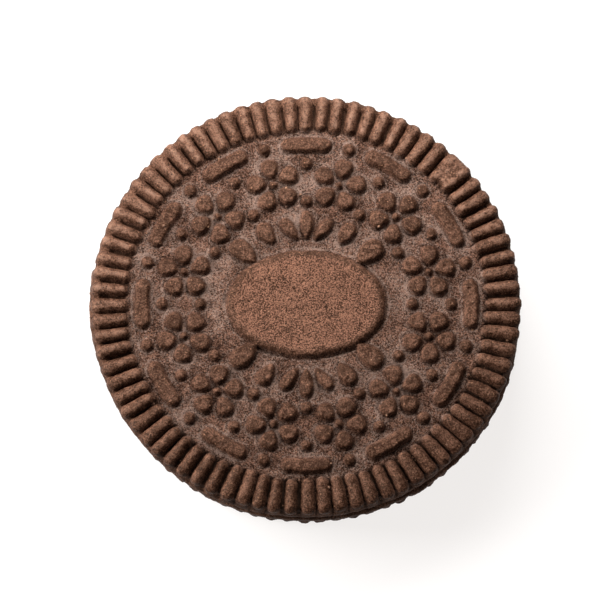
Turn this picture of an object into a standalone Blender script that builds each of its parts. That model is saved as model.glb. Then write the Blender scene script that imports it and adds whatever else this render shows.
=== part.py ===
"""Chocolate sandwich cookie: two embossed wafers with a disc of creme between them.

Both wafers are the same moulded biscuit. The upper one lies with its embossed face up and the
lower one with its embossed face down, so the cookie stands on the lower wafer's ridges and
oval. The origin is under the middle of the cookie, on the surface it stands on.
"""

import math

import bmesh
import bpy
from mathutils import Matrix, Vector

MM = 0.001

# Wafer, measured from its flat inner face upwards.
WAFER_RADIUS = 22.25 * MM
WAFER_HEIGHT = 3.1 * MM
FLOOR_HEIGHT = 2.45 * MM
MOTIF_HEIGHT = 2.95 * MM
ROOT_DEPTH = 0.4 * MM

# Ridged rim: radial bars between narrow grooves.
RIDGE_COUNT = 80
RIDGE_FOOT_RADIUS = 18.45 * MM
RIDGE_INNER_RADIUS = 18.85 * MM
RIDGE_OUTER_RADIUS = 21.3 * MM
LIP_HEIGHT = 1.4 * MM
LIP_FOOT = 0.3 * MM
INNER_FACE_RADIUS = 21.9 * MM
GROOVE_PHASE = math.radians(2.5)
GROOVE_TOP_WIDTH = 0.55 * MM
GROOVE_FLOOR_WIDTH = 0.3 * MM
GROOVE_FLOOR_HEIGHT = FLOOR_HEIGHT + 0.03 * MM

# Raised motifs, on rings round the middle.
OVAL_SEMI_AXES = (8.3 * MM, 5.75 * MM)
OVAL_SIDES = 28
SPACING = math.radians(30)
DASH_RING_RADIUS = 17.05 * MM
DASH_LENGTH = 5.3 * MM
DASH_WIDTH = 1.6 * MM
FLOWER_RING_RADIUS = 13.1 * MM
FLOWER_RADIUS = 2.75 * MM
FLOWER_NOTCH_RADIUS = 1.4 * MM
PETALS = 5
DOT_SIDES = 5
RING_DOT_RADIUS = 0.6 * MM
OUTER_DOT_RING_RADIUS = 14.95 * MM
INNER_DOT_RING_RADIUS = 10.95 * MM
SMALL_DOT_RADIUS = 0.55 * MM

# Leaves about the oval: (centre x, centre y, pointing angle, length, width), in one quarter.
CORNER_LEAF = (6.5 * MM, 5.45 * MM, math.radians(40), 3.2 * MM, 2.1 * MM)
SIDE_LEAF = (4.15 * MM, 7.45 * MM, math.radians(55), 2.4 * MM, 1.6 * MM)
FAN_LEAF = (1.75 * MM, 7.95 * MM, math.radians(52), 2.6 * MM, 1.2 * MM)
MIDDLE_LEAF = (0.0, 8.45 * MM, math.radians(90), 2.9 * MM, 1.3 * MM)
LEAF_SIDES = 7

# Stack.
GAP = 0.3 * MM
CREME_HEIGHT = 1.9 * MM
CREME_RADIUS = 19.8 * MM
CREME_EDGE_ROUND = 0.4 * MM
CREME_SIDES = 40
UPPER_OFFSET = Vector((-0.10, -0.28, 0.0)) * MM
LOWER_OFFSET = Vector((0.10, 0.28, 0.0)) * MM
LOWER_TURN = math.radians(17)

WAFER_COLOUR = (0.135, 0.075, 0.050, 1.0)
CREME_COLOUR = (0.86, 0.80, 0.68, 1.0)


def clear_scene():
    for obj in list(bpy.data.objects):
        bpy.data.objects.remove(obj, do_unlink=True)


def new_collection(name):
    collection = bpy.data.collections.new(name)
    bpy.context.scene.collection.children.link(collection)
    return collection


def new_material(name, colour, roughness):
    material = bpy.data.materials.new(name)
    material.use_nodes = True
    shader = material.node_tree.nodes["Principled BSDF"]
    shader.inputs["Base Color"].default_value = colour
    shader.inputs["Roughness"].default_value = roughness
    shader.inputs["Metallic"].default_value = 0.0
    return material


def evaluated_mesh(obj):
    graph = bpy.context.evaluated_depsgraph_get()
    return bpy.data.meshes.new_from_object(obj.evaluated_get(graph), depsgraph=graph)


def turned_mesh(name, profile, sides, phase, collection):
    """A solid of revolution: the profile runs down its outer side, and flat faces close its ends."""
    outer_side = bpy.data.meshes.new(name)
    points = [Vector((radius, 0.0, height)) for radius, height in profile]
    outer_side.from_pydata(points, [(i, i + 1) for i in range(len(points) - 1)], [])
    outer_side.transform(Matrix.Rotation(phase, 4, "Z"))
    guide = bpy.data.objects.new(name, outer_side)
    collection.objects.link(guide)
    screw = guide.modifiers.new("Turn", "SCREW")
    screw.angle = 2 * math.pi
    screw.steps = sides
    screw.render_steps = sides
    screw.use_merge_vertices = True
    screw.merge_threshold = 1e-5
    bpy.context.view_layer.update()
    solid = bmesh.new()
    solid.from_mesh(evaluated_mesh(guide))
    bmesh.ops.holes_fill(solid, edges=solid.edges, sides=0)
    bmesh.ops.recalc_face_normals(solid, faces=solid.faces)
    mesh = bpy.data.meshes.new(name)
    solid.to_mesh(mesh)
    solid.free()
    bpy.data.objects.remove(guide, do_unlink=True)
    return mesh


def wafer_blank(collection):
    """The wafer without its grooves and motifs."""
    profile = [
        (RIDGE_FOOT_RADIUS, FLOOR_HEIGHT),
        (RIDGE_INNER_RADIUS, WAFER_HEIGHT),
        (RIDGE_OUTER_RADIUS, WAFER_HEIGHT),
        (WAFER_RADIUS, LIP_HEIGHT),
        (WAFER_RADIUS, LIP_FOOT),
        (INNER_FACE_RADIUS, 0.0),
    ]
    mesh = turned_mesh("blank", profile, RIDGE_COUNT, GROOVE_PHASE, collection)
    obj = bpy.data.objects.new("blank", mesh)
    collection.objects.link(obj)
    return obj


def groove_cutter(collection):
    """One wedge for each groove, from inside the ridges' feet out past the shoulder."""
    cutters = bmesh.new()
    inner = RIDGE_FOOT_RADIUS - 0.3 * MM
    outer = WAFER_RADIUS + 0.5 * MM
    height = 1.5 * MM
    flare = 1 + (GROOVE_TOP_WIDTH / GROOVE_FLOOR_WIDTH - 1) * height / (WAFER_HEIGHT - FLOOR_HEIGHT)
    for index in range(RIDGE_COUNT):
        made = bmesh.ops.create_cube(cutters, size=1.0)["verts"]
        for vertex in made:
            if vertex.co.z > 0:
                vertex.co.y *= flare
        size = Vector((outer - inner, GROOVE_FLOOR_WIDTH, height))
        bmesh.ops.scale(cutters, vec=size, verts=made)
        middle = Vector(((inner + outer) / 2, 0.0, GROOVE_FLOOR_HEIGHT + height / 2))
        bmesh.ops.translate(cutters, vec=middle, verts=made)
        turn = Matrix.Rotation(GROOVE_PHASE + index * 2 * math.pi / RIDGE_COUNT, 3, "Z")
        bmesh.ops.rotate(cutters, verts=made, matrix=turn)
    mesh = bpy.data.meshes.new("grooves")
    cutters.to_mesh(mesh)
    cutters.free()
    obj = bpy.data.objects.new("grooves", mesh)
    collection.objects.link(obj)
    return obj


def polar(radius, angle):
    return Vector((radius * math.cos(angle), radius * math.sin(angle)))


def round_outline(centre, radii, sides, turn=0.0):
    steps = [2 * math.pi * i / sides for i in range(sides)]
    local = [Vector((radii[0] * math.cos(t), radii[1] * math.sin(t))) for t in steps]
    return [centre + Matrix.Rotation(turn, 2) @ point for point in local]


def dash_outline(middle_angle):
    """A bar bent along its ring, with round ends."""
    half_turn = (DASH_LENGTH - DASH_WIDTH) / 2 / DASH_RING_RADIUS
    half_width = DASH_WIDTH / 2
    points = []
    for side in (1, -1):
        for step in (-1, 0, 1):
            angle = middle_angle + side * step * half_turn
            points.append(polar(DASH_RING_RADIUS + side * half_width, angle))
        end = middle_angle + side * half_turn
        cap = polar(DASH_RING_RADIUS, end)
        for bend in (60, 120):
            spread = math.radians(bend) if side > 0 else math.radians(bend + 180)
            points.append(cap + polar(half_width, end + spread))
    return points


def flower_outline(centre, facing):
    """A ring of petals: each has a broad tip between two corners, and a notch after it."""
    sixth = math.pi / (3 * PETALS)
    points = []
    for petal in range(PETALS):
        middle = facing + petal * 2 * math.pi / PETALS
        points.append(centre + polar(FLOWER_RADIUS, middle - sixth))
        points.append(centre + polar(FLOWER_RADIUS, middle + sixth))
        points.append(centre + polar(FLOWER_NOTCH_RADIUS, middle + 3 * sixth))
    return points


def leaf_outline(leaf, mirror_x, mirror_y):
    """A drop shape, narrow at its foot and round at its tip."""
    x, y, angle, length, width = leaf
    points = []
    for step in range(LEAF_SIDES):
        turn = 2 * math.pi * step / LEAF_SIDES
        narrowing = 0.8 + 0.35 * math.cos(turn)
        local = Vector((length / 2 * math.cos(turn), width / 2 * math.sin(turn) * narrowing))
        point = Vector((x, y)) + Matrix.Rotation(angle, 2) @ local
        points.append(Vector((mirror_x * point.x, mirror_y * point.y)))
    return points


def motif_outlines():
    outlines = [round_outline(Vector((0.0, 0.0)), OVAL_SEMI_AXES, OVAL_SIDES)]
    heights = [WAFER_HEIGHT]
    ring = []
    for index in range(12):
        on = index * SPACING
        between = on + SPACING / 2
        ring.append(dash_outline(on))
        ring.append(flower_outline(polar(FLOWER_RING_RADIUS, between), between))
        dots = [
            (DASH_RING_RADIUS, between, RING_DOT_RADIUS),
            (OUTER_DOT_RING_RADIUS, on, SMALL_DOT_RADIUS),
            (INNER_DOT_RING_RADIUS, on, SMALL_DOT_RADIUS),
        ]
        for radius, angle, dot in dots:
            ring.append(round_outline(polar(radius, angle), (dot, dot), DOT_SIDES, angle))
    for mirror_y in (1, -1):
        ring.append(leaf_outline(MIDDLE_LEAF, 1, mirror_y))
        for mirror_x in (1, -1):
            for leaf in (CORNER_LEAF, SIDE_LEAF, FAN_LEAF):
                ring.append(leaf_outline(leaf, mirror_x, mirror_y))
    return outlines + ring, heights + [MOTIF_HEIGHT] * len(ring)


def motif_relief(collection):
    """The motifs as upright prisms whose roots go into the wafer's floor."""
    relief = bmesh.new()
    root = FLOOR_HEIGHT - ROOT_DEPTH
    outlines, tops = motif_outlines()
    for outline, top in zip(outlines, tops):
        curve = bpy.data.curves.new("motif", "CURVE")
        curve.dimensions = "2D"
        curve.fill_mode = "BOTH"
        curve.extrude = (top - root) / 2
        spline = curve.splines.new("POLY")
        spline.points.add(len(outline) - 1)
        for point, place in zip(spline.points, outline):
            point.co = (place.x, place.y, 0.0, 1.0)
        spline.use_cyclic_u = True
        shape = bpy.data.objects.new("motif", curve)
        collection.objects.link(shape)
        mesh = evaluated_mesh(shape)
        mesh.transform(Matrix.Translation((0.0, 0.0, (top + root) / 2)))
        relief.from_mesh(mesh)
        bpy.data.meshes.remove(mesh)
        bpy.data.curves.remove(curve)
    bmesh.ops.remove_doubles(relief, verts=relief.verts, dist=1e-6)
    bmesh.ops.recalc_face_normals(relief, faces=relief.faces)
    mesh = bpy.data.meshes.new("relief")
    relief.to_mesh(mesh)
    relief.free()
    obj = bpy.data.objects.new("relief", mesh)
    collection.objects.link(obj)
    return obj


def hide(obj):
    obj.hide_render = True
    obj.display_type = "WIRE"


def wafer_mesh(helpers):
    """One wafer, inner face on z = 0 and embossed face up."""
    blank = wafer_blank(helpers)
    for operation, tool in (
        ("DIFFERENCE", groove_cutter(helpers)),
        ("UNION", motif_relief(helpers)),
    ):
        boolean = blank.modifiers.new(tool.name, "BOOLEAN")
        boolean.operation = operation
        boolean.object = tool
        hide(tool)
    bpy.context.view_layer.update()
    mesh = evaluated_mesh(blank)
    mesh.name = "wafer"
    hide(blank)
    mesh.shade_smooth()
    mesh.set_sharp_from_angle(angle=math.radians(30))
    return mesh


def add_part(name, mesh, material, placing, collection):
    obj = bpy.data.objects.new(name, mesh)
    if not mesh.materials:
        mesh.materials.append(material)
    obj.matrix_world = placing
    collection.objects.link(obj)
    return obj


def add_creme(material, middle_height, helpers, cookie):
    half = CREME_HEIGHT / 2
    profile = [
        (CREME_RADIUS - CREME_EDGE_ROUND, half),
        (CREME_RADIUS, half - CREME_EDGE_ROUND),
        (CREME_RADIUS, CREME_EDGE_ROUND - half),
        (CREME_RADIUS - CREME_EDGE_ROUND, -half),
    ]
    mesh = turned_mesh("creme", profile, CREME_SIDES, 0.0, helpers)
    mesh.shade_smooth()
    mesh.set_sharp_from_angle(angle=math.radians(30))
    placing = Matrix.Translation((0.0, 0.0, middle_height))
    return add_part("creme_filling", mesh, material, placing, cookie)


def main():
    clear_scene()
    cookie = new_collection("sandwich_cookie")
    helpers = new_collection("helpers")
    wafer_material = new_material("dark_wafer", WAFER_COLOUR, 0.85)
    creme_material = new_material("creme", CREME_COLOUR, 0.6)

    wafer = wafer_mesh(helpers)
    inner_face = WAFER_HEIGHT + 2 * GAP + CREME_HEIGHT
    upper = Matrix.Translation(UPPER_OFFSET + Vector((0.0, 0.0, inner_face)))
    lower = (
        Matrix.Translation(LOWER_OFFSET + Vector((0.0, 0.0, WAFER_HEIGHT)))
        @ Matrix.Rotation(LOWER_TURN, 4, "Z")
        @ Matrix.Rotation(math.pi, 4, "X")
    )
    add_part("upper_wafer", wafer, wafer_material, upper, cookie)
    add_part("lower_wafer", wafer, wafer_material, lower, cookie)
    add_creme(creme_material, WAFER_HEIGHT + GAP + CREME_HEIGHT / 2, helpers, cookie)


main()
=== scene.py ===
"""Chocolate sandwich cookie: two baked, embossed wafers, the creme between them, and crumbs."""

import math

import bmesh
import bpy
from mathutils import Matrix, Vector, noise


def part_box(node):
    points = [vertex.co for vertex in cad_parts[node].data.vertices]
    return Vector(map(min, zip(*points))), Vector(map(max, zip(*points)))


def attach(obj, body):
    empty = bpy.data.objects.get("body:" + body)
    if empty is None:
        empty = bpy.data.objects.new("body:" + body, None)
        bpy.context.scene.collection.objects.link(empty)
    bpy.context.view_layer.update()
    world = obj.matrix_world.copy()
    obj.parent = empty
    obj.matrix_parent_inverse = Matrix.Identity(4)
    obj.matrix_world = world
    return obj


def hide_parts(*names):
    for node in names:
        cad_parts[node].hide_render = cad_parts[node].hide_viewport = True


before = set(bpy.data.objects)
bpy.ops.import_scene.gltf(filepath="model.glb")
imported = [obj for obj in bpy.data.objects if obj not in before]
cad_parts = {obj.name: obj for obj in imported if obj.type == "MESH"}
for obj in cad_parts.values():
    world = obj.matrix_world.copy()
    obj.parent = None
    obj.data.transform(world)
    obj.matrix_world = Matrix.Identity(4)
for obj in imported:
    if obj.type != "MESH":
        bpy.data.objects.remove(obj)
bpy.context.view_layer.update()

MM = 0.001

# Wafer, in millimetres from its flat inner face upwards.
SIDE_RADIUS = 21.85
FLOOR_HEIGHT = 2.37
RIDGE_HEIGHT = 0.73
LIP_HEIGHT = 0.40
DISC_EDGE = 18.2
LIP_START = 21.2
SIDE_TOP = 1.85
FOOT_ROUND = 0.35
INNER_EDGE = 18.6
EMBOSSED_FROM = 2.25
MOTIF_HEIGHT = 0.70
OVAL_HEIGHT = 0.64
CREASE_DEPTH = 0.15

# Unevenness of the dough and the bake. A scale is how often it repeats in a millimetre, and the
# waver, heights and depths are in millimetres.
WAVER = 0.30
DRIFT_SCALE = 0.45
TREMBLE_SCALE = 1.5
TREMBLE_SHARE = 0.4
LUMP_SCALE = 0.9
LUMP_HEIGHT = 0.14
FINE_SCALE = 3.2
FINE_HEIGHT = 0.17
PIT_SCALE = 1.1
PIT_DEPTH = 0.10

# Surface lattice: square rings out to the disc's edge, then columns round the rim. The columns
# crowd towards the grooves, and the rows lie closer under the bars' round inner ends.
DISC_CELLS = 120
DISC_SPREAD = 0.92
RIM_COLUMNS = 8 * DISC_CELLS
CROWDING = 0.42
CROWDED_FROM = 0.93
BAR_HEADS_END = 19.3
HEAD_ROWS = 8
TOP_ROWS = 8
LIP_ROWS = 9
SIDE_ROWS = 7
FOOT_ROWS = 3
INNER_ROWS = 5

# Radial ridges, with how far chance changes their grooves, their lean and their inner ends. The
# grooves fade out over GROOVE_END, where the bars run together at the shoulder's height.
RIDGE_COUNT = 80
RIDGE_PITCH = 2 * math.pi / RIDGE_COUNT
GROOVE_PHASE = math.radians(2.5)
RIDGE_INNER = 18.4
GROOVE_WIDTH = 0.08
GROOVE_CHANCE = 0.22
LEAN_CHANCE = 0.16
START_CHANCE = 0.3
GROOVE_END = (21.2, 21.9)
SHOULDER_HEIGHT = 0.62
BAR_MIDDLE = 0.50

# Edges of the raised parts: width of the slope, how far out its foot lies, and its roundness.
BAR_EDGE = (0.68, 0.05, 2.3)
OVAL_EDGE = (0.75, 0.06, 2.4)
MOTIF_EDGE = (0.45, 0.07, 2.4)

# Motifs: the oval's half sizes, then lengths, and radii of rings about the wafer's middle.
OVAL = (8.33, 5.75)
TWELFTH = math.radians(30)
DASH_RING = 17.05
DASH_LENGTH = 5.3
DASH_WIDTH = 1.6
FLOWER_RING = 13.1
PETALS = 5
PETAL_REACH = 1.78
PETAL_SEMI = (1.04, 0.93)
PETAL_TAPER = 0.3
FLOWER_EYE = 0.42
LEAF_TAPER = 0.28

# Dots: radius of their ring, angle of the first one, and their own radius.
DOTS = (
    (DASH_RING, TWELFTH / 2, 0.65),
    (14.95, 0.0, 0.61),
    (10.95, 0.0, 0.61),
)

# One quarter's leaves about the oval: centre x, y, pointing angle, half length, half width.
LEAVES = (
    (6.5, 5.45, math.radians(40), 1.65, 1.08),
    (4.15, 7.45, math.radians(55), 1.3, 0.85),
    (1.75, 7.95, math.radians(52), 1.4, 0.66),
    (0.0, 8.45, math.radians(90), 1.5, 0.7),
)

# Faults of this one cookie: bars rubbed together, a rim that is wider on one side and whose
# grooves end farther in there, the lower wafer's turn, and thin flashes of dough at the rim's
# side, as middle angle and half width in degrees and how far they stand out.
SMEAR_ANGLE = math.radians(42.85)
LEAN_ANGLE = math.radians(122)
LEAN = 0.20
LEAN_REACH = 2.5
LOWER_TURN = math.radians(17)
FLASHES = ((181.5, -12.5, 0.16), (75.0, 3.0, 0.2), (-37.0, 5.0, 0.15), (-120.0, 8.0, 0.12))

# Direction towards the lamps in which the biscuit is painted lighter, as painted light, and over
# how many millimetres, and the colours of biscuit and crumbs.
PAINTED_LIGHT_SIDE = (-0.2, 0.98, 0.0)
PAINTED_LIGHT_SPAN = (-20.0, 17.0)
FLOOR_DARK = (0.014, 0.005, 0.0025, 1.0)
FLOOR_LIGHT = (0.126, 0.062, 0.041, 1.0)
DUST_COLOUR = (0.235, 0.160, 0.128, 1.0)
CRUST_DARK = (0.018, 0.006, 0.0025, 1.0)
CRUST_LIGHT = (0.128, 0.061, 0.038, 1.0)
WORN_LIGHT = (0.168, 0.077, 0.048, 1.0)
# Painted highlight: the pale colour laid on the bars' crests on the lamps' side.
CREST_HIGHLIGHT_COLOUR = (0.240, 0.155, 0.115, 1.0)
SPECK_COLOUR = (0.26, 0.13, 0.075, 1.0)
CRUMB_DARK = (0.075, 0.034, 0.019, 1.0)
CRUMB_LIGHT = (0.20, 0.10, 0.055, 1.0)

# Finishes: roughness, as lowest and highest where it varies, or the biscuit's floor's and its
# crests', then gloss.
BISCUIT_ROUGHNESS = (0.82, 0.46)
BISCUIT_GLOSS = 0.11
BISCUIT_GLOSS_TINT = (1.0, 0.76, 0.58, 1.0)
CREME_ROUGHNESS = (0.42, 0.62)
CREME_GLOSS = 0.4
CREME_SCATTER_REACH = (0.8 * MM, 0.6 * MM, 0.4 * MM)
CREME_SCATTER = 0.15
CRUMB_ROUGHNESS = 0.7
CRUMB_GLOSS = 0.3

# Creme between the wafers.
CREME_RADIUS = 19.6
CREME_HEIGHT = 2.5
CREME_BULGE = 0.4
CREME_SINK = 0.05
CREME_COLUMNS = 480
CREME_ROWS = 16
CREME_COLOUR = (0.86, 0.80, 0.68, 1.0)
CREME_SHADE = (0.78, 0.70, 0.56, 1.0)

# Crumbs lie only on the upper wafer's embossed face, above this height in millimetres. The
# density is for a square metre, and the sizes are radii in millimetres.
CRUMB_FLOOR = 7.6
CRUMB_DENSITY = 45000.0
CRUMB_SIZES = (0.035, 0.17)
CRUMB_SEED = 5

# Stage: a glowing pale floor, lamps as name, place, size and power, and the camera.
FLOOR_SIZE = 3.0
FLOOR_COLOUR = (0.17, 0.17, 0.17, 1.0)
FLOOR_ROUGHNESS = 0.9
FLOOR_GLOSS = 0.1
FLOOR_GLOW_COLOUR = (1.0, 0.97, 0.95, 1.0)
FLOOR_GLOW = 0.83
SKY_STRENGTH = 0.22
LAMPS = (
    ("far_side_light", (0.0, 0.07, 0.065), 0.06, 0.215),
    ("left_light", (-0.20, 0.05, 0.11), 0.14, 1.65),
)
CAMERA_TARGET = (-0.15, -0.60, 8.5)
CAMERA_ELEVATION = math.radians(77)
CAMERA_DISTANCE = 0.5
CAMERA_LENS = 284.6


class Value:
    """A number or vector inside a node tree, which arithmetic turns into Math nodes."""

    def __init__(self, maker, socket):
        self.maker = maker
        self.socket = socket

    def __add__(self, other):
        return self.maker.math("ADD", self, other)

    def __radd__(self, other):
        return self.maker.math("ADD", other, self)

    def __sub__(self, other):
        return self.maker.math("SUBTRACT", self, other)

    def __rsub__(self, other):
        return self.maker.math("SUBTRACT", other, self)

    def __mul__(self, other):
        return self.maker.math("MULTIPLY", self, other)

    def __rmul__(self, other):
        return self.maker.math("MULTIPLY", other, self)

    def __truediv__(self, other):
        return self.maker.math("DIVIDE", self, other)

    def __pow__(self, other):
        return self.maker.math("POWER", self, other)

    def __abs__(self):
        return self.maker.math("ABSOLUTE", self)


class Maker:
    """Adds nodes to a tree and links them."""

    def __init__(self, tree):
        self.tree = tree

    def put(self, value, socket):
        if isinstance(value, Value):
            self.tree.links.new(value.socket, socket)
        elif isinstance(value, bpy.types.NodeSocket):
            self.tree.links.new(value, socket)
        else:
            socket.default_value = value

    def node(self, kind, inputs=(), **settings):
        node = self.tree.nodes.new(kind)
        for name, setting in settings.items():
            setattr(node, name, setting)
        for key, value in dict(inputs).items():
            self.put(value, node.inputs[key])
        return node

    def math(self, operation, *values):
        node = self.node("ShaderNodeMath", enumerate(values), operation=operation)
        return Value(self, node.outputs[0])

    def vector(self, operation, *values, output=0):
        node = self.node("ShaderNodeVectorMath", enumerate(values), operation=operation)
        return Value(self, node.outputs[output])

    def scaled(self, vector, factor):
        node = self.node("ShaderNodeVectorMath", {0: vector, "Scale": factor}, operation="SCALE")
        return Value(self, node.outputs[0])

    def combine(self, x, y, z):
        node = self.node("ShaderNodeCombineXYZ", {0: x, 1: y, 2: z})
        return Value(self, node.outputs[0])

    def separate(self, vector):
        node = self.node("ShaderNodeSeparateXYZ", {0: vector})
        return [Value(self, output) for output in node.outputs]

    def noise(self, vector, scale, detail=2.0, roughness=0.5, colour=False):
        settings = {"Vector": vector, "Scale": scale, "Detail": detail, "Roughness": roughness}
        node = self.node("ShaderNodeTexNoise", settings)
        return Value(self, node.outputs["Color" if colour else "Fac"])

    def wobble(self, vector, scale, detail):
        """A smooth random vector about zero."""
        noise_vector = self.noise(vector, scale, detail, 0.6, colour=True)
        return self.vector("SUBTRACT", noise_vector, (0.5,) * 3)

    def spots(self, vector, scale):
        """Distance to the nearest of many scattered spots, and a random number for that spot."""
        node = self.node("ShaderNodeTexVoronoi", {"Vector": vector, "Scale": scale})
        kind, _, _ = self.separate(node.outputs["Color"])
        return Value(self, node.outputs["Distance"]), kind

    def chance(self, number):
        """A fixed random number from 0 to 1 for each whole number."""
        node = self.node("ShaderNodeTexWhiteNoise", {"W": number}, noise_dimensions="1D")
        return Value(self, node.outputs["Value"])

    def ramp(self, value, low, high, out_low=0.0, out_high=1.0, smooth=True):
        """Goes from one output to the other as the value goes from low to high, and no further."""
        kind = "SMOOTHSTEP" if smooth else "LINEAR"
        settings = {"Value": value, "From Min": low, "From Max": high}
        settings.update({"To Min": out_low, "To Max": out_high})
        node = self.node("ShaderNodeMapRange", settings, interpolation_type=kind)
        return Value(self, node.outputs["Result"])

    def mix(self, factor, a, b):
        settings = {0: factor, 6: a, 7: b}
        node = self.node("ShaderNodeMix", settings, data_type="RGBA", clamp_factor=True)
        return Value(self, node.outputs[2])

    def length(self, x, y):
        return self.math("SQRT", x * x + y * y)

    def larger(self, *values):
        result = values[0]
        for value in values[1:]:
            result = self.math("MAXIMUM", result, value)
        return result

    def smaller(self, *values):
        result = values[0]
        for value in values[1:]:
            result = self.math("MINIMUM", result, value)
        return result


def new_tree(name, sockets):
    """A Geometry Nodes tree with the named inputs and one geometry output."""
    tree = bpy.data.node_groups.new(name, "GeometryNodeTree")
    tree.interface.new_socket("Geometry", in_out="OUTPUT", socket_type="NodeSocketGeometry")
    for label, kind in sockets:
        tree.interface.new_socket(label, in_out="INPUT", socket_type="NodeSocket" + kind)
    maker = Maker(tree)
    group = maker.node("NodeGroupInput")
    inputs = {label: Value(maker, group.outputs[label]) for label, _ in sockets}
    return maker, inputs


def finish_tree(maker, geometry, material):
    realized = maker.node("GeometryNodeRealizeInstances", {"Geometry": geometry})
    painted = maker.node(
        "GeometryNodeSetMaterial", {"Geometry": realized.outputs[0], "Material": material}
    )
    maker.node("NodeGroupOutput", {"Geometry": painted.outputs[0]})


def run_tree(name, mesh, tree, settings):
    """Runs a tree on a mesh once and returns a new object that holds the plain result."""
    source = bpy.data.objects.new(name + "_source", mesh)
    bpy.context.scene.collection.objects.link(source)
    modifier = source.modifiers.new(name, "NODES")
    modifier.node_group = tree
    identifiers = {
        item.name: item.identifier
        for item in tree.interface.items_tree
        if item.item_type == "SOCKET" and item.in_out == "INPUT"
    }
    for label, value in settings.items():
        modifier[identifiers[label]] = value
    bpy.context.view_layer.update()
    graph = bpy.context.evaluated_depsgraph_get()
    result = bpy.data.meshes.new_from_object(source.evaluated_get(graph), depsgraph=graph)
    bpy.data.objects.remove(source, do_unlink=True)
    result.name = name
    piece = bpy.data.objects.new(name, result)
    bpy.context.scene.collection.objects.link(piece)
    return piece


# ---- Wafer ----


def spread(start, end, count):
    """Evenly spaced numbers from start up to but without end."""
    return [start + (end - start) * i / count for i in range(count)]


def rim_profile():
    """Radius and height, in millimetres, from the disc's edge over the lip to the inner face."""
    points = [(r, FLOOR_HEIGHT) for r in spread(DISC_EDGE, BAR_HEADS_END, HEAD_ROWS)]
    points += [(r, FLOOR_HEIGHT) for r in spread(BAR_HEADS_END, LIP_START, TOP_ROWS)]
    lip_width = SIDE_RADIUS - LIP_START
    lip_drop = FLOOR_HEIGHT - SIDE_TOP
    for turn in spread(0, math.pi / 2, LIP_ROWS):
        radius = LIP_START + lip_width * math.sin(turn)
        points.append((radius, SIDE_TOP + lip_drop * math.cos(turn)))
    points += [(SIDE_RADIUS, z) for z in spread(SIDE_TOP, FOOT_ROUND, SIDE_ROWS)]
    for turn in spread(0, math.pi / 2, FOOT_ROWS):
        radius = SIDE_RADIUS - FOOT_ROUND * (1 - math.cos(turn))
        points.append((radius, FOOT_ROUND * (1 - math.sin(turn))))
    points += [(r, 0.0) for r in spread(SIDE_RADIUS - FOOT_ROUND, INNER_EDGE, INNER_ROWS)]
    return points + [(INNER_EDGE, 0.0)]


def profile_mesh():
    points = [Vector((radius, 0.0, height)) * MM for radius, height in rim_profile()]
    mesh = bpy.data.meshes.new("rim_profile")
    mesh.from_pydata(points, [(i, i + 1) for i in range(len(points) - 1)], [])
    return mesh


def crowded(maker, angle, weight):
    """Draws the lattice's columns in towards the grooves."""
    wave = maker.math("SINE", (angle - GROOVE_PHASE) * float(RIDGE_COUNT))
    return angle - weight * wave * (CROWDING / RIDGE_COUNT)


def grid_mesh(maker, size, columns, rows):
    sizes = {"Size X": size, "Size Y": size, "Vertices X": columns, "Vertices Y": rows}
    return maker.node("GeometryNodeMeshGrid", sizes).outputs["Mesh"]


def own_place(maker):
    """Each point's own place, in metres."""
    return maker.node("GeometryNodeInputPosition").outputs[0]


def bent_round(maker, geometry, radius, angle, height):
    """The geometry with each point moved to a radius, an angle and a height."""
    place = maker.combine(
        radius * maker.math("COSINE", angle), radius * maker.math("SINE", angle), height
    )
    moved = maker.node("GeometryNodeSetPosition", {"Geometry": geometry, "Position": place})
    return moved.outputs[0]


def facing_out(maker, geometry):
    return maker.node("GeometryNodeFlipFaces", {"Mesh": geometry}).outputs[0]


def disc_lattice(maker):
    """A square grid bent into a disc whose edge is divided evenly."""
    side = 2 * DISC_CELLS + 1
    grid = grid_mesh(maker, 2.0, side, side)
    x, y, _ = maker.separate(own_place(maker))
    wide = maker.math("GREATER_THAN", abs(x) + 1e-6, abs(y))
    along = maker.math("MULTIPLY", wide, x) + (1.0 - wide) * y
    across = maker.math("MULTIPLY", wide, y) + (1.0 - wide) * x
    eighth = (math.pi / 4) * (across / along)
    angle = wide * eighth + (1.0 - wide) * (math.pi / 2 - eighth) + GROOVE_PHASE
    edge = abs(along)
    radius = (DISC_EDGE * MM) * edge ** DISC_SPREAD
    sign = maker.math("SIGN", along)
    angle = crowded(maker, angle, maker.ramp(edge, CROWDED_FROM, 1.0))
    return bent_round(maker, grid, sign * radius, angle, FLOOR_HEIGHT * MM)


def rim_lattice(maker, profile, rows):
    """The profile turned about the axis."""
    grid = grid_mesh(maker, 1.0, RIM_COLUMNS + 1, rows)
    position = own_place(maker)
    x, y, _ = maker.separate(position)
    row = maker.math("ROUND", (y + 0.5) * float(rows - 1))
    sample = maker.node(
        "GeometryNodeSampleIndex",
        {"Geometry": profile, "Value": position, "Index": row},
        data_type="FLOAT_VECTOR",
        domain="POINT",
    )
    radius, _, height = maker.separate(sample.outputs[0])
    angle = crowded(maker, (x + 0.5) * (2 * math.pi) + GROOVE_PHASE, 1.0)
    return facing_out(maker, bent_round(maker, grid, radius, angle, height))


def inner_cap(maker):
    """The part of the inner face that lies against the creme."""
    circle = maker.node(
        "GeometryNodeMeshCircle",
        {"Vertices": RIM_COLUMNS, "Radius": INNER_EDGE * MM},
        fill_type="NGON",
    )
    x, y, _ = maker.separate(own_place(maker))
    angle = crowded(maker, maker.math("ARCTAN2", y, x) + GROOVE_PHASE, 1.0)
    flat = bent_round(maker, circle.outputs[0], maker.length(x, y), angle, 0.0)
    return facing_out(maker, flat)


def ellipse_distance(maker, x, y, semi):
    """How far a point lies outside an ellipse, or below zero inside it."""
    near = maker.length(x / semi[0], y / semi[1])
    slope = maker.length(x / semi[0] ** 2, y / semi[1] ** 2)
    return near * (near - 1.0) / maker.larger(slope, 1e-4)


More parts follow.
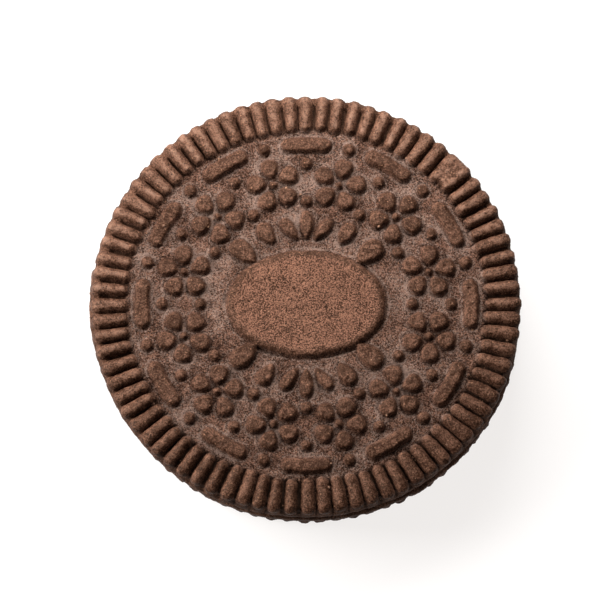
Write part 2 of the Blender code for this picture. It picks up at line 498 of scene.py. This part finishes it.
def rise(maker, distance, edge):
    """Climbs steeply at an outline's foot and rounds over to the flat top, from 0 to 1."""
    slope, foot, roundness = edge
    climb = maker.ramp(distance, foot, foot - slope, smooth=False)
    return 1.0 - (1.0 - climb) ** roundness


def folded(maker, angle, first, pitch):
    """The angle from the nearest of a ring's members, and that member's number."""
    turn = maker.math("WRAP", angle - first, pitch / 2, -pitch / 2)
    count = float(round(2 * math.pi / pitch))
    number = maker.math("WRAP", maker.math("ROUND", (angle - first - turn) / pitch), count, 0.0)
    return turn, number


def ring_place(maker, radius, turn, ring):
    """Outward and sideways distances from a ring member's middle."""
    return radius * maker.math("COSINE", turn) - ring, radius * maker.math("SINE", turn)


def off_centre(maker, angle):
    """How much wider than usual the rim is at an angle, in millimetres."""
    return LEAN * maker.math("COSINE", angle - LEAN_ANGLE)


def ridges(maker, radius, turn, chance, wider):
    """The rim's radial bars, from 0 to 1, and the distance outside their outline.

    They are round across, and the grooves between them end short of the lip.
    """
    groove = GROOVE_WIDTH + GROOVE_CHANCE * chance
    lean = turn * radius + (chance - 0.5) * LEAN_CHANCE
    half = radius * (RIDGE_PITCH / 2) - groove / 2
    start = RIDGE_INNER + half + (chance - 0.5) * START_CHANCE
    along = maker.larger(start - radius, 0.0)
    distance = maker.length(along, lean) - half
    bar = rise(maker, distance, BAR_EDGE)
    shoulder = maker.ramp(radius + wider * LEAN_REACH, *GROOVE_END, 0.0, SHOULDER_HEIGHT)
    return maker.larger(bar, shoulder), distance


def flower_distance(maker, radius, angle):
    turn, _ = folded(maker, angle, TWELFTH / 2, TWELFTH)
    out, side = ring_place(maker, radius, turn, FLOWER_RING)
    reach = maker.length(out, side)
    petal_turn, _ = folded(maker, maker.math("ARCTAN2", side, out), 0.0, 2 * math.pi / PETALS)
    x, y = ring_place(maker, reach, petal_turn, PETAL_REACH)
    petal = ellipse_distance(maker, x, y / (1.0 + PETAL_TAPER * x), PETAL_SEMI)
    return maker.smaller(petal, reach - FLOWER_EYE)


def dash_distance(maker, radius, angle):
    turn, _ = folded(maker, angle, 0.0, TWELFTH)
    half = DASH_WIDTH / 2
    along = maker.larger(abs(turn) * DASH_RING - (DASH_LENGTH / 2 - half), 0.0)
    return maker.length(along, radius - DASH_RING) - half


def dot_distance(maker, radius, angle):
    distances = []
    for ring, first, size in DOTS:
        turn, _ = folded(maker, angle, first, TWELFTH)
        out, side = ring_place(maker, radius, turn, ring)
        distances.append(maker.length(out, side) - size)
    return maker.smaller(*distances)


def leaf_distance(maker, x, y):
    distances = []
    for middle_x, middle_y, pointing, long, wide in LEAVES:
        out_x = abs(x) - middle_x
        out_y = abs(y) - middle_y
        along = out_x * math.cos(pointing) + out_y * math.sin(pointing)
        across = out_y * math.cos(pointing) - out_x * math.sin(pointing)
        across = across / (1.0 + LEAF_TAPER * along / long)
        distances.append(ellipse_distance(maker, along, across, (long, wide)))
    return maker.smaller(*distances)


def soft_place(maker, inputs):
    """Each point's place in millimetres, drawn out of true as dough is, and its place for noise."""
    place = maker.scaled(own_place(maker), 1 / MM)
    shift = maker.combine(inputs["Seed"] * 7.3, inputs["Seed"] * 3.1, 0.0)
    moved = maker.vector("ADD", place, shift)
    drift = maker.wobble(moved, DRIFT_SCALE, 3.0)
    tremble = maker.wobble(moved, TREMBLE_SCALE, 2.0)
    drift = maker.vector("ADD", drift, maker.scaled(tremble, TREMBLE_SHARE))
    return maker.vector("ADD", place, maker.scaled(drift, inputs["Waver"])), moved


def emboss(maker, inputs):
    """How far each point is raised, in millimetres, and what the biscuit's colours go by.

    These are the painted shade in the grooves, the rim, the worn middle of the oval, and nearness
    to a motif.
    """
    place, moved = soft_place(maker, inputs)
    x, y, z = maker.separate(place)
    radius = maker.length(x, y)
    angle = maker.math("ARCTAN2", y, x)

    turn, number = folded(maker, angle, GROOVE_PHASE + RIDGE_PITCH / 2, RIDGE_PITCH)
    chance = maker.chance(number + inputs["Seed"] * 100.0)
    wider = off_centre(maker, angle)
    bar, bar_edge = ridges(maker, radius, turn, chance, wider)
    oval = ellipse_distance(maker, x, y, OVAL)
    motif = maker.smaller(
        flower_distance(maker, radius, angle),
        dash_distance(maker, radius, angle),
        dot_distance(maker, radius, angle),
        leaf_distance(maker, x, y),
    )
    pressed = maker.smaller(0.6 + 0.75 * maker.noise(moved, 0.14, 2.0), 1.0)
    smear = smeared(maker, radius, angle)
    uneven = 0.62 + 0.6 * maker.noise(moved, 1.9, 3.0, 0.7)
    bar = maker.larger(bar, smear * uneven)
    bar = bar * (0.88 + 0.12 * chance) * inputs["Ridge Height"]
    top = maker.larger(
        bar,
        rise(maker, oval, OVAL_EDGE) * inputs["Oval Height"],
        rise(maker, motif, MOTIF_EDGE) * inputs["Motif Height"] * pressed,
    )
    nearest = maker.smaller(bar_edge, oval, motif)
    crease = maker.ramp(nearest, -0.1, 0.04) * maker.ramp(nearest, 0.26, 0.06)
    deeper = 1.0 + 0.9 * maker.ramp(radius, RIDGE_INNER, RIDGE_INNER + 0.4)
    crease = crease * (1.0 - smear) * deeper
    top = top - crease * inputs["Crease Depth"]
    top = top * maker.ramp(z, SIDE_TOP, EMBOSSED_FROM)
    worn = maker.ramp(oval, -0.45, -1.1)
    rim = maker.ramp(radius, RIDGE_INNER - 0.1, RIDGE_INNER + 0.5)
    near = maker.ramp(maker.smaller(oval, motif), 0.9, 0.0, smooth=False)
    # Painted shade in the rim's grooves, fading where they end and low on the side.
    groove_shade = rim * maker.ramp(bar_edge, -0.05, 0.03)
    groove_shade = groove_shade * maker.ramp(radius + wider * LEAN_REACH, *reversed(GROOVE_END)) * (1.0 - smear)
    groove_shade = groove_shade * maker.ramp(z, 0.5, 1.2)
    bars_out = (bar - BAR_MIDDLE) * inputs["Side Bars"]
    wall = side_wall(maker, bars_out, angle, z, moved, wider + inputs["Rim Spread"])
    return top + wall, {"groove_shade": groove_shade, "rim": rim, "worn": worn, "near": near}


def smeared(maker, radius, angle):
    """Where two bars were rubbed together, from 0 to 1."""
    turn = abs(maker.math("WRAP", angle - SMEAR_ANGLE, math.pi, -math.pi))
    beside = maker.ramp(turn, math.radians(4.0), math.radians(2.2))
    return beside * maker.ramp(radius, 18.5, 19.2)


def side_wall(maker, bars_out, angle, z, place, wider):
    """How far the rim's side stands out: its lip, the bars running down it and thin flashes."""
    down = maker.ramp(z, 0.0, 0.5) * maker.ramp(z, EMBOSSED_FROM, SIDE_TOP)
    fade = maker.ramp(z, 0.6, 1.5, 0.10, 1.0)
    swell = (maker.noise(place, 0.22, 3.0, 0.6) - 0.5) * 0.45
    lip = LIP_HEIGHT - 0.22 * maker.ramp(z, 0.9, 2.1)
    wall = lip + wider + swell * (1.0 - 0.5 * fade) + bars_out * fade
    for middle, half, proud in FLASHES:
        turn = maker.math("WRAP", angle - math.radians(middle), math.pi, -math.pi)
        begins = maker.ramp(turn, math.radians(half), math.radians(half) * 0.9)
        fades = maker.ramp(turn, -math.radians(half), -math.radians(half) * 0.2)
        low_down = maker.ramp(z, 0.2, 0.5) * maker.ramp(z, 1.3, 0.9)
        wall = wall + begins * fades * low_down * proud
    return wall * down


def grain(maker, inputs):
    """Fine unevenness of the baked surface, in millimetres."""
    position = own_place(maker)
    shift = maker.combine(0.0, 0.0, inputs["Seed"] * 9.0)
    place = maker.vector("ADD", maker.scaled(position, 1 / MM), shift)
    lumps = (maker.noise(place, LUMP_SCALE, 3.0, 0.6) - 0.5) * LUMP_HEIGHT
    fine = (maker.noise(place, FINE_SCALE, 2.0, 0.6) - 0.5) * FINE_HEIGHT
    from_pit, _ = maker.spots(place, PIT_SCALE)
    pits = maker.ramp(from_pit, 0.10, 0.24, -PIT_DEPTH, 0.0)
    _, _, height = maker.separate(position)
    above_inner_face = maker.ramp(height, 0.05 * MM, 0.3 * MM)
    return (lumps + fine + pits) * inputs["Roughness"] * above_inner_face


def pushed(maker, geometry, offset):
    moved = maker.node("GeometryNodeSetPosition", {"Geometry": geometry, "Offset": offset})
    return moved.outputs[0]


def wafer_tree(rows):
    """Builds one wafer, inner face down: its lattice, the emboss on it, then the grain."""
    sockets = (
        ("Geometry", "Geometry"),
        ("Ridge Height", "Float"),
        ("Motif Height", "Float"),
        ("Oval Height", "Float"),
        ("Crease Depth", "Float"),
        ("Waver", "Float"),
        ("Roughness", "Float"),
        ("Rim Spread", "Float"),
        ("Side Bars", "Float"),
        ("Seed", "Float"),
        ("Material", "Material"),
    )
    maker, inputs = new_tree("Wafer", sockets)
    joined = maker.node("GeometryNodeJoinGeometry")
    rim = rim_lattice(maker, inputs["Geometry"], rows)
    for part in (disc_lattice(maker), rim, inner_cap(maker)):
        maker.tree.links.new(part, joined.inputs[0])
    merged = maker.node(
        "GeometryNodeMergeByDistance", {"Geometry": joined.outputs[0], "Distance": 0.01 * MM}
    )
    smooth = maker.node("GeometryNodeSetShadeSmooth", {"Geometry": merged.outputs[0]})

    height, looks = emboss(maker, inputs)
    looks["raised"] = height / RIDGE_HEIGHT
    stored = smooth
    for label, value in looks.items():
        stored = maker.node(
            "GeometryNodeStoreNamedAttribute",
            {"Geometry": stored.outputs[0], "Name": label, "Value": value},
            data_type="FLOAT",
            domain="POINT",
        )
    normal = maker.node("GeometryNodeInputNormal").outputs[0]
    raised_by = maker.node("GeometryNodeInputNamedAttribute", {"Name": "raised"}, data_type="FLOAT")
    lift = maker.scaled(normal, Value(maker, raised_by.outputs[0]) * (RIDGE_HEIGHT * MM))
    embossed = pushed(maker, stored.outputs[0], lift)
    baked = pushed(maker, embossed, maker.scaled(normal, grain(maker, inputs) * MM))
    finish_tree(maker, baked, inputs["Material"])
    return maker.tree


def make_wafer(name, tree, material, placing, seed, rim_spread, side_bars):
    settings = {
        "Ridge Height": RIDGE_HEIGHT,
        "Motif Height": MOTIF_HEIGHT,
        "Oval Height": OVAL_HEIGHT,
        "Crease Depth": CREASE_DEPTH,
        "Waver": WAVER,
        "Roughness": 1.0,
        "Rim Spread": rim_spread,
        "Side Bars": side_bars,
        "Seed": seed,
        "Material": material,
    }
    wafer = run_tree(name, profile_mesh(), tree, settings)
    wafer.data.transform(placing)
    return wafer


# ---- Creme ----


def creme_edge(turn, level):
    """Radius of the squeezed edge, in millimetres, at a level from -1 below to 1 above."""
    around = Vector((math.cos(turn), math.sin(turn), 0.0)) * CREME_RADIUS
    spot = around + Vector((0.0, 0.0, level * CREME_HEIGHT / 2))
    bulge = CREME_BULGE * math.sqrt(max(0.0, 1.0 - level * level))
    slow = noise.fractal(around * 0.16, 1.0, 2.0, 3) * 0.45
    ripple = noise.fractal(spot * 0.9, 0.8, 2.0, 3) * 0.14
    crack = max(0.0, 0.12 - abs(noise.noise(spot * 0.7 + Vector((9.0, 4.0, 2.0))))) * 1.6
    return CREME_RADIUS + bulge + slow + ripple - crack


def make_creme(low, high, centre, material):
    """The disc of creme, pressed a little into the wafer above and below."""
    shape = bmesh.new()
    rings = []
    for row in range(CREME_ROWS + 1):
        level = math.sin(math.pi * (row / CREME_ROWS - 0.5))
        height = low + (high - low) * (level + 1) / 2
        ring = []
        for column in range(CREME_COLUMNS):
            turn = 2 * math.pi * column / CREME_COLUMNS
            radius = creme_edge(turn, level) * MM
            place = (centre.x + radius * math.cos(turn), centre.y + radius * math.sin(turn), height)
            ring.append(shape.verts.new(place))
        rings.append(ring)
    for lower, upper in zip(rings, rings[1:]):
        for column in range(CREME_COLUMNS):
            following = (column + 1) % CREME_COLUMNS
            shape.faces.new((lower[column], lower[following], upper[following], upper[column]))
    shape.faces.new(rings[-1])
    shape.faces.new(list(reversed(rings[0])))
    mesh = bpy.data.meshes.new("creme")
    shape.to_mesh(mesh)
    shape.free()
    mesh.shade_smooth()
    mesh.materials.append(material)
    creme = bpy.data.objects.new("creme", mesh)
    bpy.context.scene.collection.objects.link(creme)
    return creme


# ---- Crumbs ----


def crumb_tree():
    """Scatters small broken lumps over the upward faces of the geometry it is given."""
    sockets = (
        ("Geometry", "Geometry"),
        ("Density", "Float"),
        ("Smallest", "Float"),
        ("Largest", "Float"),
        ("Seed", "Int"),
        ("Material", "Material"),
    )
    maker, inputs = new_tree("Crumbs", sockets)
    normal = maker.node("GeometryNodeInputNormal").outputs[0]
    _, _, upward = maker.separate(normal)
    _, _, height = maker.separate(own_place(maker))
    on_top = maker.math("GREATER_THAN", height, CRUMB_FLOOR * MM)
    settings = {
        "Mesh": inputs["Geometry"],
        "Selection": maker.math("GREATER_THAN", upward, 0.3) * on_top,
        "Density": inputs["Density"],
        "Seed": inputs["Seed"],
    }
    points = maker.node("GeometryNodeDistributePointsOnFaces", settings)
    ball = maker.node("GeometryNodeMeshIcoSphere", {"Radius": 1.0, "Subdivisions": 2})
    bend = maker.wobble(own_place(maker), 1.3, 2.0)
    lump = pushed(maker, ball.outputs[0], maker.scaled(bend, 1.6))
    lump = maker.node("GeometryNodeSetShadeSmooth", {"Geometry": lump, "Shade Smooth": False})
    seed = {"Seed": inputs["Seed"]}
    each = maker.node("FunctionNodeRandomValue", seed, data_type="FLOAT_VECTOR").outputs[0]
    stretch = maker.vector("ADD", maker.vector("MULTIPLY", each, (0.6,) * 3), (0.7,) * 3)
    spin = maker.vector("MULTIPLY", each, (2 * math.pi,) * 3)
    size = maker.node("FunctionNodeRandomValue", seed, data_type="FLOAT")
    mostly_small = Value(maker, size.outputs[1]) ** 3.0
    reach = inputs["Smallest"] + (inputs["Largest"] - inputs["Smallest"]) * mostly_small
    scattered = maker.node(
        "GeometryNodeInstanceOnPoints",
        {
            "Points": points.outputs["Points"],
            "Instance": lump.outputs[0],
            "Rotation": spin,
            "Scale": maker.scaled(stretch, reach * MM),
        },
    )
    finish_tree(maker, scattered.outputs[0], inputs["Material"])
    return maker.tree


def make_crumbs(biscuit, material):
    settings = {
        "Density": CRUMB_DENSITY,
        "Smallest": CRUMB_SIZES[0],
        "Largest": CRUMB_SIZES[1],
        "Seed": CRUMB_SEED,
        "Material": material,
    }
    return run_tree("crumbs", biscuit.data, crumb_tree(), settings)


# ---- Materials ----


def new_material(name):
    material = bpy.data.materials.new(name)
    material.use_nodes = True
    maker = Maker(material.node_tree)
    return material, maker, material.node_tree.nodes["Principled BSDF"]


def surface_place(maker):
    """The shaded point's place on the piece, in millimetres."""
    return maker.scaled(maker.node("ShaderNodeTexCoord").outputs["Object"], 1 / MM)


def set_bump(maker, shader, height, depth):
    """Bump of a depth in millimetres."""
    bump = maker.node(
        "ShaderNodeBump", {"Height": height, "Distance": depth * MM, "Strength": 1.0}
    )
    maker.put(bump.outputs["Normal"], shader.inputs["Normal"])


def biscuit_material():
    """Dark biscuit: dusty floor, browner raised parts, fine grain, pores and pale specks, with
    painted highlights on crests and painted shade in grooves and by the motifs.
    """
    material, maker, shader = new_material("chocolate_biscuit")
    place = surface_place(maker)
    raised, groove_shade, rim, worn, near = (
        Value(maker, maker.node("ShaderNodeAttribute", attribute_name=label).outputs["Fac"])
        for label in ("raised", "groove_shade", "rim", "worn", "near")
    )
    top = maker.larger(maker.ramp(raised, 0.25, 0.7), rim)

    grain_noise = maker.noise(place, 5.8, 2.0, 0.85) - 0.5
    mottle = maker.noise(place, 1.7, 2.0, 0.6) - 0.5
    patches = maker.noise(place, 0.5, 3.0, 0.6) - 0.5
    grainy = 0.46 + 0.55 * worn + 0.42 * (1.0 - top)
    # Painted light: the biscuit is painted lighter towards the lamps, with a painted highlight
    # along the bars' crests there.
    across = maker.vector("DOT_PRODUCT", place, PAINTED_LIGHT_SIDE, output="Value")
    pale = maker.ramp(across, *PAINTED_LIGHT_SPAN)
    crest_highlight = maker.ramp(raised, 0.76, 0.98) * rim * pale
    # The tone mixes each dark colour with its light one: grain and mottle first, then a painted
    # highlight on the bars' crests towards the lamps, a darker rim with painted shade away from the
    # lamps, the oval's worn middle, and painted shade on and around the motifs.
    tone = 0.40 + grain_noise * grainy * 6.8
    tone = tone + mottle * (1.3 + 0.3 * (1.0 - top)) + patches * 0.9
    tone = tone + crest_highlight * 0.34 - rim * (0.16 - 0.10 * pale)
    # Painted shade on the motifs and around their feet, less in the oval's worn middle.
    tone = tone + worn * 0.12 - near * (1.0 - worn) * 0.17

    spot_size, spot_kind = maker.spots(place, 3.6)
    dot = maker.ramp(spot_size, 0.34, 0.2)
    pore = dot * maker.ramp(spot_kind, 0.24, 0.18) * maker.larger(grainy, rim * 0.9)
    speck = dot * maker.ramp(spot_kind, 0.84, 0.90)

    # Dust lies in patches over the floor and gathers along the foot of each motif.
    dusty = maker.noise(place, 7.0, 2.0, 0.7) + 0.5 * maker.noise(place, 0.35, 2.0)
    dust_line = maker.ramp(near, 0.45, 0.74) * maker.ramp(near, 0.98, 0.86)
    settled = dust_line * maker.ramp(mottle + patches, -0.12, 0.14, 0.55, 1.0) * 0.16
    dust = maker.ramp(dusty + settled - near * 0.08, 0.70, 0.93)
    ground = maker.mix(tone, FLOOR_DARK, FLOOR_LIGHT)
    ground = maker.mix(dust * 0.6, ground, DUST_COLOUR)
    crust = maker.mix(tone, CRUST_DARK, CRUST_LIGHT)
    crust = maker.mix(worn, crust, maker.mix(tone, CRUST_DARK, WORN_LIGHT))
    # Painted highlight: the crests on the lamps' side are mixed towards a pale colour.
    crust = maker.mix(crest_highlight * maker.ramp(mottle, -0.1, 0.15) * 0.2, crust, CREST_HIGHLIGHT_COLOUR)
    colour = maker.mix(top, ground, crust)
    # Pores darken the colour; the grooves get painted shade, lighter on the lamps' side.
    colour = maker.scaled(colour, (1.0 - 0.7 * pore) * (1.0 - (0.78 - 0.23 * pale) * groove_shade))
    colour = maker.mix(speck * 0.5, colour, SPECK_COLOUR)
    maker.put(colour, shader.inputs["Base Color"])
    maker.put(maker.ramp(raised, 0.3, 0.95, *BISCUIT_ROUGHNESS), shader.inputs["Roughness"])
    shader.inputs["Specular IOR Level"].default_value = BISCUIT_GLOSS
    shader.inputs["Specular Tint"].default_value = BISCUIT_GLOSS_TINT
    set_bump(maker, shader, grain_noise * grainy * 1.2 - pore * 0.8 + speck * 0.3, 0.16)
    return material


def creme_material():
    """Off-white creme: faint streaks, a waxy sheen and a few specks of biscuit."""
    material, maker, shader = new_material("vanilla_creme")
    place = surface_place(maker)
    streaks = maker.noise(maker.vector("MULTIPLY", place, (0.8, 0.8, 2.5)), 0.9, 3.0, 0.6)
    fine = maker.noise(place, 6.0, 2.0, 0.7)
    colour = maker.mix(maker.ramp(streaks, 0.35, 0.7), CREME_SHADE, CREME_COLOUR)
    colour = maker.scaled(colour, 0.88 + 0.24 * fine)
    spot_size, spot_kind = maker.spots(place, 1.5)
    speck = maker.ramp(spot_size, 0.16, 0.10) * maker.ramp(spot_kind, 0.18, 0.14)
    maker.put(maker.mix(speck, colour, FLOOR_LIGHT), shader.inputs["Base Color"])
    maker.put(maker.ramp(fine, 0.3, 0.7, *CREME_ROUGHNESS), shader.inputs["Roughness"])
    shader.inputs["Specular IOR Level"].default_value = CREME_GLOSS
    shader.inputs["Subsurface Weight"].default_value = CREME_SCATTER
    shader.inputs["Subsurface Radius"].default_value = CREME_SCATTER_REACH
    set_bump(maker, shader, fine + streaks, 0.06)
    return material


def crumb_material():
    """Broken biscuit: rougher and a little lighter than the baked face."""
    material, maker, shader = new_material("biscuit_crumb")
    place = surface_place(maker)
    rough = maker.noise(place, 7.0, 3.0, 0.7)
    kind = maker.noise(place, 0.8, 1.0)
    colour = maker.mix(maker.ramp(kind, 0.4, 0.62), CRUMB_DARK, CRUMB_LIGHT)
    maker.put(maker.scaled(colour, 0.5 + rough), shader.inputs["Base Color"])
    shader.inputs["Roughness"].default_value = CRUMB_ROUGHNESS
    shader.inputs["Specular IOR Level"].default_value = CRUMB_GLOSS
    set_bump(maker, shader, rough, 0.05)
    return material


# ---- Stage ----


def make_floor():
    bpy.ops.mesh.primitive_plane_add(size=FLOOR_SIZE, location=(0.0, 0.0, 0.0))
    floor = bpy.context.object
    floor.name = "floor"
    material, _, shader = new_material("pale_floor")
    shader.inputs["Base Color"].default_value = FLOOR_COLOUR
    shader.inputs["Roughness"].default_value = FLOOR_ROUGHNESS
    shader.inputs["Specular IOR Level"].default_value = FLOOR_GLOSS
    shader.inputs["Emission Color"].default_value = FLOOR_GLOW_COLOUR
    shader.inputs["Emission Strength"].default_value = FLOOR_GLOW
    floor.data.materials.append(material)


def aim(obj, way):
    """Turns a lamp or a camera to look along a direction."""
    obj.rotation_euler = way.to_track_quat("-Z", "Y").to_euler()
    bpy.context.scene.collection.objects.link(obj)


def make_light():
    world = bpy.data.worlds.new("studio")
    world.use_nodes = True
    background = world.node_tree.nodes["Background"]
    background.inputs["Color"].default_value = (1.0, 1.0, 1.0, 1.0)
    background.inputs["Strength"].default_value = SKY_STRENGTH
    bpy.context.scene.world = world
    for name, place, size, power in LAMPS:
        lamp = bpy.data.lights.new(name, "AREA")
        lamp.size = size
        lamp.energy = power
        obj = bpy.data.objects.new(name, lamp)
        obj.location = place
        aim(obj, -obj.location)


def make_camera():
    camera = bpy.data.cameras.new("camera")
    camera.sensor_width = 36.0
    camera.lens = CAMERA_LENS
    obj = bpy.data.objects.new("camera", camera)
    away = Vector((0.0, -math.cos(CAMERA_ELEVATION), math.sin(CAMERA_ELEVATION)))
    obj.location = Vector(CAMERA_TARGET) * MM + away * CAMERA_DISTANCE
    aim(obj, -away)
    bpy.context.scene.camera = obj


def node_box(name):
    """Lowest corner, highest corner and middle of one node's box."""
    low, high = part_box(name)
    return low, high, (Vector(low) + Vector(high)) / 2


def main():
    biscuit = biscuit_material()
    _, lower_high, lower_middle = node_box("lower_wafer")
    upper_low, _, upper_middle = node_box("upper_wafer")
    tree = wafer_tree(len(rim_profile()))

    placing = Matrix.Translation((upper_middle.x, upper_middle.y, upper_low[2]))
    upper = make_wafer(
        "upper_biscuit", tree, biscuit, placing, seed=1.0, rim_spread=0.0, side_bars=0.75
    )
    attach(upper, "root")
    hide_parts("upper_wafer")

    placing = (
        Matrix.Translation((lower_middle.x, lower_middle.y, lower_high[2]))
        @ Matrix.Rotation(LOWER_TURN, 4, "Z")
        @ Matrix.Rotation(math.pi, 4, "X")
    )
    lower = make_wafer(
        "lower_biscuit", tree, biscuit, placing, seed=2.0, rim_spread=-0.12, side_bars=0.18
    )
    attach(lower, "root")
    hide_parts("lower_wafer")

    _, _, centre = node_box("creme_filling")
    bottom = lower_high[2] - CREME_SINK * MM
    top = upper_low[2] + CREME_SINK * MM
    creme = make_creme(bottom, top, centre, creme_material())
    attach(creme, "root")
    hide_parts("creme_filling")

    crumbs = make_crumbs(upper, crumb_material())
    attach(crumbs, "root")

    make_floor()
    make_light()
    make_camera()
    bpy.context.scene.view_settings.view_transform = "Standard"


main()
